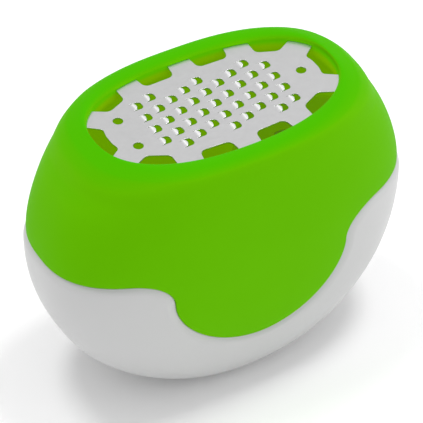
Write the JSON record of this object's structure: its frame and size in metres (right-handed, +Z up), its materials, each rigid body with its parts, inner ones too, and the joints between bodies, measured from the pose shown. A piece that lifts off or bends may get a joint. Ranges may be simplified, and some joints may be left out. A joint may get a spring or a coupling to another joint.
{
  "type": "hand-held citrus zester",
  "caption": "Palm-held citrus zester: a thin toothed steel blade in a soft green shell that lifts off a white catch cup.",
  "frame": {"origin": "middle of the cup's flat base, on the surface it stands on", "axes": "+Z up through the blade, +X along the long axis towards the end with one hole in the blade, +Y across"},
  "size_m": [0.1026, 0.0544, 0.0809],
  "materials": {
    "cup_plastic": "satin moulded white plastic",
    "collar_plastic": "moulded green plastic",
    "soft_green": "soft-touch, fine matt grain",
    "blade_steel": "etched stainless sheet, satin"
  },
  "bodies": {
    "cup": {"catch_cup": "cup_plastic"},
    "soft_top": {"shell_skirt": "soft_green", "shell_flex_band": "soft_green", "coupling_collar": "collar_plastic"},
    "blade_head": {"shell_rim": "soft_green", "grating_blade": "blade_steel"}
  },
  "joints": [
    {"name": "lift_off", "type": "slide", "parent": "cup", "child": "soft_top", "axis": [0, 0, 1], "range_m": [0, 0.045]},
    {"name": "blade_press", "type": "slide", "parent": "soft_top", "child": "blade_head", "axis": [0, 0, -1], "range_m": [0, 0.003], "stiffness_N_per_m": 2500, "deforming": ["shell_flex_band"]}
  ]
}
